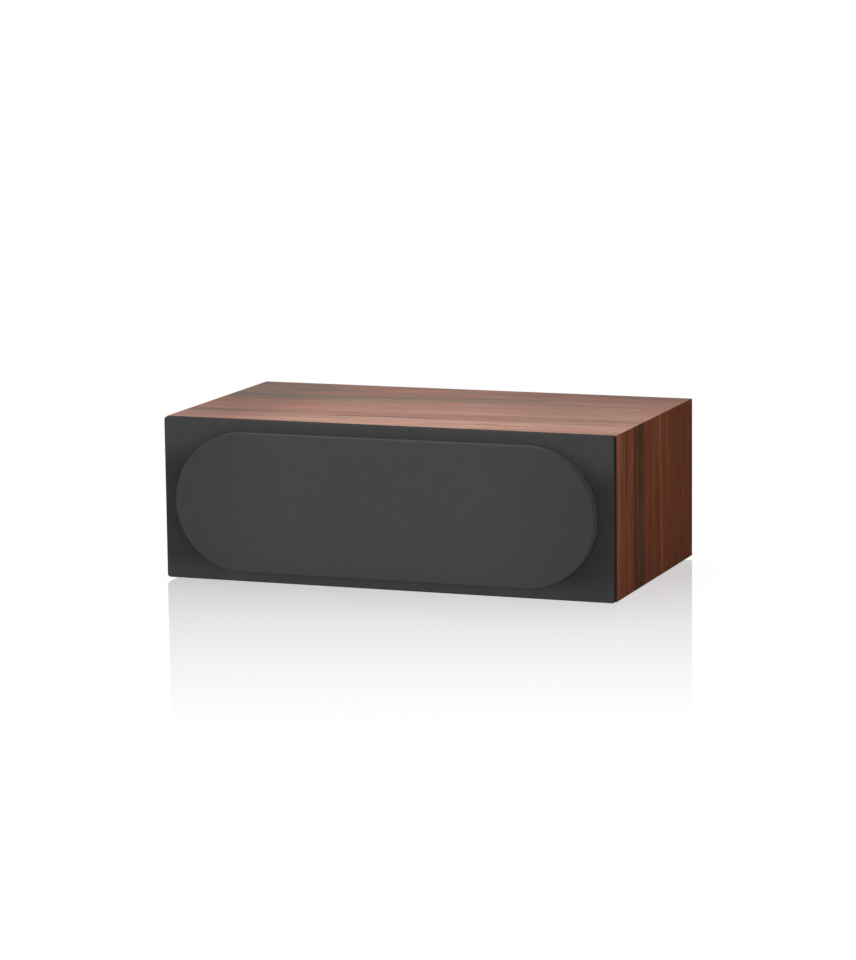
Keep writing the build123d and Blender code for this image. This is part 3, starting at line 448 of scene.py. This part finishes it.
# Grille cloth
def woven_cloth():
    """A fine black weave, its threads across and up the face, with painted shade darkening it towards the
    ends and painted light making its wall paler.
    """
    pitch, thread_depth, thread_strength = 0.0013, 0.00012, 0.6
    slubs_per_metre, patches_per_metre = (900, 900, 90), (14, 14, 20)
    crossing_share, slub_share, patch_share = 0.55, 0.3, 0.15
    dark_thread, pale_thread = grey(0.047), grey(0.079)
    end_painted_shade, shade_end_span, shade_end_share = grey(0.01), (0.1, 0.22), 0.2
    painted_wall_light, painted_wall_light_span, painted_wall_light_share = grey(0.14), (0.001, 0.004), 0.28
    finish = new_finish("grille_weave", grey(0.05), roughness=0.85, IOR=1.2)
    axes = separate(finish, place_of(finish))

    def thread(place):
        return maths(finish, "SINE", maths(finish, "MULTIPLY", place, math.pi / pitch))

    across = thread(summed(finish, axes["X"], axes["Y"]))
    upward = thread(summed(finish, axes["Z"], axes["Y"]))
    crossing = maths(finish, "ABSOLUTE", maths(finish, "MULTIPLY", across, upward))
    slub = noise(finish, stretched(finish, place_of(finish), slubs_per_metre), detail=2.0)
    patch = noise(finish, stretched(finish, place_of(finish), patches_per_metre), detail=3.0)
    share = summed(
        finish,
        maths(finish, "MULTIPLY", crossing, crossing_share),
        maths(finish, "MULTIPLY", slub, slub_share),
        maths(finish, "MULTIPLY", patch, patch_share),
    )
    cloth = mixed(finish, share, opaque(dark_thread), opaque(pale_thread))
    # Painted shade: the cloth darkens towards its ends.
    ends = ranged(finish, off_centre(finish, "X"), *shade_end_span, 0, shade_end_share, smooth=True)
    cloth = mixed(finish, ends, cloth, opaque(end_painted_shade))
    # Painted light: the cloth's wall, behind its front, is made paler as if lit from above.
    behind = maths(finish, "SUBTRACT", axes["Y"], cloth_low.y)
    cloth = mixed(finish, ranged(finish, behind, *painted_wall_light_span, 0, painted_wall_light_share), cloth, opaque(painted_wall_light))
    link(finish, cloth, shader_of(finish).inputs["Base Color"])
    bumped(finish, crossing, thread_depth, thread_strength)
    return finish


baffle_paint = matt_baffle()
grille_weave = woven_cloth()

# Finishes of the back, the feet and the grille
satin_black = (grey(0.012), grey(0.019))
matt_black = (grey(0.014), grey(0.024))
rear_vinyl = worked_surface(
    "rear_black_vinyl", (grey(0.012), grey(0.022)), grain=0.0007, roughness=(0.5, 0.62), bump=0.00006
)
fibreboard = worked_surface(
    "fibreboard", ((0.3, 0.2, 0.12), (0.4, 0.28, 0.17)), grain=0.0008, roughness=(0.8, 0.9), bump=0.00005
)
wadding = worked_surface(
    "grey_wadding", (grey(0.16), grey(0.25)), grain=0.0012, roughness=(0.85, 0.95), bump=0.0004
)
foot_rubber = worked_surface("foot_rubber", matt_black, grain=0.0005, roughness=(0.7, 0.85), bump=0.00003)
grille_plastic = worked_surface(
    "grille_frame_plastic", satin_black, grain=0.0006, roughness=(0.5, 0.6), bump=0.00002
)
nickel_plating = worked_surface(
    "nickel_plating",
    ((0.55, 0.54, 0.52), (0.66, 0.65, 0.62)),
    grain=0.0006,
    roughness=(0.22, 0.34),
    bump=0.000004,
    Metallic=1.0,
)

# Finishes of the drivers
woofer_axes, tweeter_axis = (-woofer_x, woofer_x), (0.0,)
basket_paint = worked_surface(
    "basket_black_paint", satin_black, grain=0.0008, roughness=(0.42, 0.55), bump=0.00003
)
cone_paper = ringed(
    "cone_pressed_paper",
    (grey(0.02), grey(0.04)),
    pitch=0.0015,
    centres=woofer_axes,
    roughness=0.62,
    bump=0.00005,
)
cap_paper = worked_surface(
    "dust_cap_coated_paper", (grey(0.018), grey(0.027)), grain=0.0012, roughness=(0.34, 0.42), bump=0.00002
)
surround_rubber = ringed(
    "surround_rubber",
    (grey(0.011), grey(0.018)),
    pitch=0.0008,
    centres=woofer_axes,
    roughness=0.6,
    bump=0.00001,
)
spider_cloth = ringed(
    "spider_resin_cloth",
    ((0.3, 0.17, 0.055), (0.46, 0.3, 0.12)),
    pitch=0.0007,
    centres=woofer_axes,
    roughness=0.85,
    bump=0.00006,
)
tweeter_cloth = ringed(
    "tweeter_surround_cloth",
    (grey(0.013), grey(0.024)),
    pitch=0.0004,
    centres=tweeter_axis,
    roughness=0.7,
    bump=0.00002,
)
enamelled_copper = ringed(
    "enamelled_copper",
    ((0.42, 0.13, 0.04), (0.62, 0.26, 0.1)),
    pitch=0.0008,
    centres=tweeter_axis,
    roughness=0.32,
    bump=0.00003,
    Metallic=0.9,
)
zinc_plating = worked_surface(
    "zinc_plated_steel",
    ((0.42, 0.42, 0.41), (0.55, 0.55, 0.52)),
    grain=0.0009,
    roughness=(0.3, 0.44),
    bump=0.00001,
    Metallic=1.0,
)
ferrite = worked_surface(
    "ferrite", ((0.03, 0.03, 0.032), (0.048, 0.048, 0.05)), grain=0.0006, roughness=(0.55, 0.7), bump=0.00003
)
faceplate_plastic = worked_surface(
    "tweeter_face_plastic", satin_black, grain=0.0007, roughness=(0.36, 0.46), bump=0.000015
)
dome_metal = ringed(
    "satin_metal_dome",
    (grey(0.42), grey(0.56)),
    pitch=0.0004,
    centres=tweeter_axis,
    roughness=0.28,
    bump=0.000003,
    Metallic=1.0,
)
guard_paint = worked_surface(
    "guard_black_paint", satin_black, grain=0.0005, roughness=(0.4, 0.52), bump=0.00001
)
gasket_foam = worked_surface(
    "gasket_foam", (grey(0.02), grey(0.045)), grain=0.0006, roughness=(0.9, 0.97), bump=0.00012
)
black_steel = worked_surface(
    "blackened_steel",
    (grey(0.02), grey(0.04)),
    grain=0.0005,
    roughness=(0.32, 0.45),
    bump=0.000006,
    Metallic=0.8,
)

# Finishes of the ports, the terminals and the crossover
port_plastic = worked_surface(
    "port_black_plastic", satin_black, grain=0.0007, roughness=(0.42, 0.54), bump=0.00002
)
terminal_plastic = worked_surface(
    "terminal_black_plastic", matt_black, grain=0.0006, roughness=(0.45, 0.58), bump=0.00003
)
gilt_brass = worked_surface(
    "gilt_brass",
    ((0.72, 0.46, 0.14), (0.83, 0.58, 0.22)),
    grain=0.0007,
    roughness=(0.16, 0.28),
    bump=0.000004,
    Metallic=1.0,
)
red_plastic = worked_surface(
    "red_cap_plastic",
    ((0.42, 0.012, 0.012), (0.5, 0.022, 0.018)),
    grain=0.0008,
    roughness=(0.22, 0.32),
    bump=0.00001,
)
black_plastic = worked_surface(
    "black_cap_plastic", satin_black, grain=0.0008, roughness=(0.22, 0.32), bump=0.00001
)
green_board = worked_surface(
    "green_board",
    ((0.035, 0.17, 0.06), (0.06, 0.25, 0.095)),
    grain=0.0007,
    roughness=(0.5, 0.62),
    bump=0.00002,
)
nylon = worked_surface(
    "white_nylon",
    (grey(0.5), grey(0.6)),
    grain=0.0008,
    roughness=(0.45, 0.55),
    bump=0.00001,
    Subsurface_Weight=0.1,
)
capacitor_sleeve = worked_surface(
    "capacitor_blue_sleeve",
    ((0.012, 0.02, 0.06), (0.018, 0.03, 0.085)),
    grain=0.0012,
    roughness=(0.32, 0.42),
    bump=0.00001,
)
capacitor_film = worked_surface(
    "capacitor_yellow_film",
    ((0.5, 0.3, 0.03), (0.6, 0.39, 0.055)),
    grain=0.0012,
    roughness=(0.4, 0.5),
    bump=0.00002,
)
resistor_ceramic = worked_surface(
    "resistor_white_ceramic", (grey(0.5), grey(0.62)), grain=0.0005, roughness=(0.75, 0.9), bump=0.00005
)
lead_sheath = worked_surface(
    "lead_grey_sheath", (grey(0.06), grey(0.085)), grain=0.0009, roughness=(0.4, 0.52), bump=0.00002
)


# Modelling
def clear_selection():
    """Leave every piece and node out of what the next operator acts on."""
    if bpy.context.object and bpy.context.object.mode != "OBJECT":
        bpy.ops.object.mode_set(mode="OBJECT")
    bpy.ops.object.select_all(action="DESELECT")


def select_only(piece):
    """Let the next operator act on one piece."""
    clear_selection()
    piece.select_set(True)
    bpy.context.view_layer.objects.active = piece


def select_where(piece, test, kind="VERT"):
    """Open the piece in edit mode with the points, edges or faces selected whose place passes a test."""
    bpy.ops.object.mode_set(mode="EDIT")
    bpy.ops.mesh.select_mode(type=kind)
    bpy.ops.mesh.select_all(action="DESELECT")
    bpy.ops.object.mode_set(mode="OBJECT")
    mesh = piece.data
    if kind == "VERT":
        for point in mesh.vertices:
            point.select = test(point.co)
    elif kind == "EDGE":
        for edge in mesh.edges:
            edge.select = all(test(mesh.vertices[i].co) for i in edge.vertices)
    else:
        for face in mesh.polygons:
            face.select = test(face)
    bpy.ops.object.mode_set(mode="EDIT")


def cut_at(axis, places):
    """Cut the whole mesh that is open in edit mode at some places along one axis."""
    direction = Vector([float(letter == axis) for letter in "XYZ"])
    for place in places:
        bpy.ops.mesh.select_all(action="SELECT")
        bpy.ops.mesh.bisect(plane_co=direction * place, plane_no=direction)


def apply_modifier(piece, kind, **settings):
    """Add a modifier to a piece and make its result the mesh."""
    select_only(piece)
    modifier = piece.modifiers.new(kind.lower(), kind)
    for name, value in settings.items():
        setattr(modifier, name, value)
    bpy.ops.object.modifier_apply(modifier=modifier.name)


def finish_piece(piece, name, finish, smooth_angle=40):
    """Apply the piece's place, name it and give it its finish."""
    select_only(piece)
    bpy.ops.object.transform_apply(location=True, rotation=True, scale=True)
    bpy.ops.object.shade_smooth_by_angle(angle=math.radians(smooth_angle))
    piece.name = name
    piece.data.materials.clear()
    piece.data.materials.append(finish)
    return piece


def stretched_cloth():
    """The grille's cloth: a bag with half-round ends, drawn over the frame and rounded at its front edge."""
    thickness, edge_radius, edge_steps = 0.0006, 0.0015, 6
    outline_steps = 128
    square, squares_aside, squares_up = 0.0138, 15, 4
    tolerance = 0.0001
    radius = (cloth_high.z - cloth_low.z) / 2
    reach = (cloth_high.x - cloth_low.x) / 2 - radius
    clear_selection()
    bpy.ops.mesh.primitive_circle_add(
        vertices=outline_steps,
        radius=radius / math.cos(math.pi / outline_steps),
        fill_type="NGON",
        location=(0, cloth_high.y, axis_z),
        rotation=(math.pi / 2, math.pi / outline_steps, 0),
    )
    cloth = bpy.context.object
    bpy.ops.object.transform_apply(location=True, rotation=True, scale=True)
    for side in (-1, 1):
        select_where(cloth, lambda co: co.x * side > 0)
        bpy.ops.transform.translate(value=(side * reach, 0, 0))
    bpy.ops.mesh.select_all(action="SELECT")
    bpy.ops.mesh.extrude_region_move(TRANSFORM_OT_translate={"value": (0, cloth_low.y - cloth_high.y, 0)})
    select_where(cloth, lambda face: face.center.y > cloth_high.y - tolerance, "FACE")
    bpy.ops.mesh.delete(type="ONLY_FACE")
    select_where(cloth, lambda co: co.y < cloth_low.y + tolerance, "EDGE")
    bpy.ops.mesh.bevel(offset=edge_radius, segments=edge_steps, affect="EDGES")
    cut_at("X", [i * square for i in range(-squares_aside, squares_aside + 1)])
    cut_at("Z", [axis_z + i * square for i in range(-squares_up, squares_up + 1)])
    bpy.ops.mesh.select_all(action="SELECT")
    bpy.ops.mesh.normals_make_consistent(inside=False)
    bpy.ops.object.mode_set(mode="OBJECT")
    apply_modifier(cloth, "SOLIDIFY", thickness=thickness, offset=-1.0)
    return finish_piece(cloth, "grille_cloth_cover", grille_weave)


grille_cover = stretched_cloth()
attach(grille_cover, "grille")
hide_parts("grille_cloth")


# Rolls and centring discs, which flex between the moving parts and the cabinet
def turned_sheet(name, centre, profile, thickness, finish):
    """A thin piece turned about an axis that points to the front, from radii and depths behind its centre."""
    turn_steps = 96
    first_radius, first_depth = profile[0]
    clear_selection()
    bpy.ops.mesh.primitive_circle_add(
        vertices=turn_steps,
        radius=first_radius,
        location=centre + Vector((0, first_depth, 0)),
        rotation=(math.pi / 2, 0, 0),
    )
    sheet = bpy.context.object
    bpy.ops.object.transform_apply(location=True, rotation=True, scale=True)
    bpy.ops.object.mode_set(mode="EDIT")
    bpy.ops.mesh.select_all(action="SELECT")
    for (radius, depth), (next_radius, next_depth) in zip(profile, profile[1:]):
        bpy.ops.mesh.extrude_edges_move(TRANSFORM_OT_translate={"value": (0, next_depth - depth, 0)})
        growth = next_radius / radius
        bpy.ops.transform.resize(value=(growth, 1, growth), center_override=centre)
    bpy.ops.mesh.select_all(action="SELECT")
    bpy.ops.mesh.normals_make_consistent(inside=False)
    bpy.ops.object.mode_set(mode="OBJECT")
    apply_modifier(sheet, "SOLIDIFY", thickness=thickness, offset=0.0)
    return finish_piece(sheet, name, finish)


def flex(sheet, centre, moving_body, moving_radius, fixed_radius):
    """Let a turned sheet stretch from the moving body, inside one radius, to the cabinet, outside another."""
    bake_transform(sheet, "cabinet", moving_body, centre, centre + Vector((fixed_radius, 0, 0)))
    shares = sheet.data.attributes["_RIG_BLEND"].data
    for point, share in zip(sheet.data.vertices, shares):
        radius = math.hypot(point.co.x - centre.x, point.co.z - centre.z)
        share.value = min(1, max(0, (fixed_radius - radius) / (fixed_radius - moving_radius)))


def arch(start, end, depth, rise, steps):
    """Points of a roll between two radii, which stands forward of a depth by its rise."""
    middle, half = (start + end) / 2, (end - start) / 2
    turns = [math.pi * i / steps for i in range(1, steps)]
    return [(middle - half * math.cos(turn), depth - rise * math.sin(turn)) for turn in turns]


lip_radius, cone_radius, roll_radius, surround_radius = 0.0415, 0.044, 0.052, 0.056
surround_depth, surround_thickness = 0.0007, 0.001
roll_start, roll_end = cone_radius + surround_thickness / 2, roll_radius - surround_thickness / 2
roll_profile = [
    (lip_radius, surround_depth),
    (roll_start, surround_depth),
    *arch(roll_start, roll_end, surround_depth, rise=0.004, steps=14),
    (roll_end, surround_depth),
    (surround_radius, surround_depth),
]
collar_radius, first_ring, last_ring, ledge_radius = 0.013, 0.015, 0.032, 0.036
spider_depth, spider_thickness = 0.0275, 0.0005
ring_height, rings, ring_steps = 0.0015, 4, 40
spider_profile = [
    (collar_radius, spider_depth),
    *[
        (
            first_ring + (last_ring - first_ring) * i / ring_steps,
            spider_depth + ring_height * math.sin(math.pi * rings * i / ring_steps),
        )
        for i in range(ring_steps + 1)
    ],
    (ledge_radius, spider_depth),
]
for side, x in (("left", -woofer_x), ("right", woofer_x)):
    woofer_centre = Vector((x, face_y, axis_z))
    moving = f"{side}_woofer_moving"
    roll = turned_sheet(
        f"{side}_woofer_rubber_roll",
        woofer_centre,
        roll_profile,
        0.8 * surround_thickness,
        surround_rubber,
    )
    flex(roll, woofer_centre, moving, cone_radius, roll_radius)
    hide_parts(f"{side}_woofer_surround")
    disc = turned_sheet(
        f"{side}_woofer_centring_disc",
        woofer_centre,
        spider_profile,
        spider_thickness,
        spider_cloth,
    )
    flex(disc, woofer_centre, moving, first_ring, last_ring)
    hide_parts(f"{side}_woofer_spider")

dome_edge, dome_roll, dome_rim = 0.01255, 0.0155, 0.0235
dome_depth, dome_cloth_thickness = 0.0072, 0.0003
dome_profile = [
    (dome_edge, dome_depth),
    *arch(dome_edge, dome_roll, dome_depth, rise=0.0012, steps=10),
    (dome_roll, dome_depth),
    (dome_rim, dome_depth),
]
tweeter_centre = Vector((0, face_y, axis_z))
dome_cloth = turned_sheet(
    "tweeter_cloth_roll",
    tweeter_centre,
    dome_profile,
    dome_cloth_thickness,
    tweeter_cloth,
)
flex(dome_cloth, tweeter_centre, "tweeter_moving", dome_edge, dome_roll)
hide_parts("tweeter_surround")


# Wadding
def wadding_pad(name, low, high):
    """A slab of wadding with rounded edges and an uneven skin."""
    core_share = 0.97
    edge_radius, edge_steps = 0.005, 3
    strips_aside, strips_back = 16, 20
    lump_size, lump_height, lump_middle = 0.02, 0.0024, 0.75
    size = high - low
    clear_selection()
    bpy.ops.mesh.primitive_cube_add(size=1, location=(low + high) / 2)
    pad = bpy.context.object
    pad.scale = size * core_share
    bpy.ops.object.transform_apply(location=True, rotation=True, scale=True)
    bpy.ops.object.mode_set(mode="EDIT")
    bpy.ops.mesh.select_all(action="SELECT")
    bpy.ops.mesh.bevel(offset=edge_radius, segments=edge_steps, affect="EDGES")
    cut_at("X", [low.x + size.x * i / strips_aside for i in range(1, strips_aside)])
    cut_at("Y", [low.y + size.y * i / strips_back for i in range(1, strips_back)])
    bpy.ops.object.mode_set(mode="OBJECT")
    lumps = bpy.data.textures.new(f"{name}_lumps", "CLOUDS")
    lumps.noise_scale = lump_size
    apply_modifier(
        pad,
        "DISPLACE",
        texture=lumps,
        texture_coords="GLOBAL",
        strength=lump_height,
        mid_level=lump_middle,
    )
    apply_modifier(pad, "SUBSURF", levels=1, render_levels=1)
    finish_piece(pad, name, wadding, smooth_angle=80)
    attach(pad, "cabinet")
    return pad


pads_low, pads_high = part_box("damping_pads")
pad_width = 0.15
left_pad_high = Vector((pads_low.x + pad_width, pads_high.y, pads_high.z))
right_pad_low = Vector((pads_high.x - pad_width, pads_low.y, pads_low.z))
left_pad = wadding_pad("left_wadding_pad", pads_low, left_pad_high)
right_pad = wadding_pad("right_wadding_pad", right_pad_low, pads_high)
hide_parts("damping_pads")
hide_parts("damping_pads")


# Dressing the nodes
def dress(finish, *names):
    """Give CAD nodes a finish."""
    for name in names:
        nodes[name].data.materials.clear()
        nodes[name].data.materials.append(finish)


def both(name):
    """The names of the left and right pieces of a kind."""
    return f"left_{name}", f"right_{name}"


dress(rosewood_along, "top_panel", "bottom_panel")
dress(rosewood_upright, *both("panel"))
dress(baffle_paint, "front_baffle")
dress(rear_vinyl, "rear_panel")
dress(fibreboard, "window_brace")
dress(wadding, "damping_pads")
dress(foot_rubber, "rubber_feet")
dress(grille_plastic, "grille_frame")
dress(grille_weave, "grille_cloth")
dress(nickel_plating, "grille_magnets", "baffle_magnets")
dress(basket_paint, *both("woofer_basket"))
dress(cone_paper, *both("woofer_cone"))
dress(cap_paper, *both("woofer_dust_cap"))
dress(surround_rubber, *both("woofer_surround"))
dress(spider_cloth, *both("woofer_spider"))
dress(enamelled_copper, *both("woofer_voice_coil"), "tweeter_voice_coil")
dress(enamelled_copper, "woofer_inductor", "tweeter_inductor")
dress(zinc_plating, *both("woofer_top_plate"), *both("woofer_pole_yoke"))
dress(zinc_plating, "tweeter_top_plate", "tweeter_pole_yoke")
dress(ferrite, *both("woofer_magnet"), "tweeter_magnet")
dress(faceplate_plastic, "tweeter_faceplate")
dress(dome_metal, "tweeter_dome")
dress(tweeter_cloth, "tweeter_surround")
dress(guard_paint, "tweeter_guard")
dress(gasket_foam, "driver_gaskets")
dress(black_steel, "driver_screws", "terminal_screws")
dress(port_plastic, *both("port_tube"))
dress(terminal_plastic, "terminal_plate")
dress(gilt_brass, "positive_post", "negative_post", "post_nuts")
dress(gilt_brass, "positive_clamp_washer", "negative_clamp_washer")
dress(red_plastic, "positive_cap")
dress(black_plastic, "negative_cap")
dress(green_board, "crossover_board")
dress(nylon, "board_supports")
dress(capacitor_sleeve, "woofer_capacitor")
dress(capacitor_film, "tweeter_capacitor")
dress(resistor_ceramic, "power_resistor")
dress(lead_sheath, "internal_leads")

# Studio
white = opaque(grey(1))


def seen_share(material, *rays):
    """One where a ray of any of these kinds meets the material, and nothing elsewhere."""
    path = material.node_tree.nodes.new("ShaderNodeLightPath").outputs
    share = path[rays[0]]
    for ray in rays[1:]:
        share = maths(material, "ADD", share, path[ray], clamp=True)
    return share


def studio_floor():
    """A white gloss floor that mirrors the speaker close by and keeps a little of its shadow."""
    floor_size = 24
    front_x, front_y = 0.35, 0.937
    mirror_span, mirror_fall, mirror_share = (0.72, 0.05), 1.2, 0.38
    mirror_roughness = 0.04
    glow, shadow_grey, shadow_span = 0.9, grey(0.14), (0.4, 0.8)
    bounce_grey = grey(0.7)
    clear_selection()
    bpy.ops.mesh.primitive_plane_add(size=floor_size, location=(0, 0, 0))
    floor = bpy.context.object
    floor.name = "studio_floor"
    finish = bpy.data.materials.new("studio_floor_white")
    finish.use_nodes = True
    finish.node_tree.nodes.clear()

    def blended(share, first, second):
        return add_node(finish, "ShaderNodeMixShader", i0=share, i1=first.outputs[0], i2=second.outputs[0])

    axes = separate(finish, place_of(finish))
    aside = maths(finish, "MULTIPLY", axes["X"], front_x)
    away = maths(finish, "SUBTRACT", aside, maths(finish, "MULTIPLY", axes["Y"], front_y))
    near = ranged(finish, maths(finish, "ABSOLUTE", away), *mirror_span)
    near = maths(finish, "MULTIPLY", maths(finish, "POWER", near, mirror_fall), mirror_share)
    apart = add_node(finish, "ShaderNodeVectorMath", {"operation": "LENGTH"}, i0=place_of(finish))
    far = ranged(finish, apart.outputs["Value"], *shadow_span, smooth=True)

    plain = add_node(finish, "ShaderNodeEmission", Color=white, Strength=1.0)
    glowing = add_node(finish, "ShaderNodeEmission", Color=white, Strength=glow)
    shadowed = add_node(finish, "ShaderNodeBsdfDiffuse", Color=opaque(shadow_grey))
    shaded = add_node(finish, "ShaderNodeAddShader", i0=glowing.outputs[0], i1=shadowed.outputs[0])
    mirror = add_node(finish, "ShaderNodeBsdfGlossy", Color=white, Roughness=mirror_roughness)
    seen = blended(near, blended(far, shaded, plain), mirror)
    unseen = add_node(finish, "ShaderNodeBsdfDiffuse", Color=opaque(bounce_grey))
    share = seen_share(finish, "Is Camera Ray", "Is Transmission Ray", "Is Glossy Ray")
    shown = blended(share, unseen, seen)
    add_node(finish, "ShaderNodeOutputMaterial", Surface=shown.outputs[0])
    floor.data.materials.append(finish)


def studio_world():
    """White where it is seen, straight or in a gloss, and a soft grey fill elsewhere."""
    fill_strength = 0.25
    world = bpy.data.worlds.new("studio_world")
    world.use_nodes = True
    bpy.context.scene.world = world
    world.node_tree.nodes.clear()
    fill = add_node(world, "ShaderNodeBackground", Color=white, Strength=fill_strength)
    plain = add_node(world, "ShaderNodeBackground", Color=white, Strength=1.0)
    share = seen_share(world, "Is Camera Ray", "Is Glossy Ray", "Is Transmission Ray")
    shown = add_node(world, "ShaderNodeMixShader", i0=share, i1=fill.outputs[0], i2=plain.outputs[0])
    add_node(world, "ShaderNodeOutputWorld", Surface=shown.outputs[0])


def soft_lamp(name, place, power, size):
    """A square soft box that faces the speaker, with its power in watts and its size in metres."""
    lamp_aim = Vector((0, 0, 0.08))
    bpy.ops.object.light_add(type="AREA", location=place)
    lamp = bpy.context.object
    lamp.name = name
    lamp.data.energy = power
    lamp.data.size = size
    lamp.rotation_euler = (lamp_aim - Vector(place)).to_track_quat("-Z", "Y").to_euler()


studio_floor()
studio_world()
soft_lamp("overhead_soft_box", (-0.2, 0.5, 2.4), power=46, size=2.4)
soft_lamp("left_soft_box", (-2.6, -2.0, 0.5), power=20, size=1.0)
soft_lamp("right_soft_box", (2.4, -2.2, 0.5), power=14, size=1.0)
soft_lamp("low_front_soft_box", (0.2, -3.0, 0.4), power=24, size=0.8)
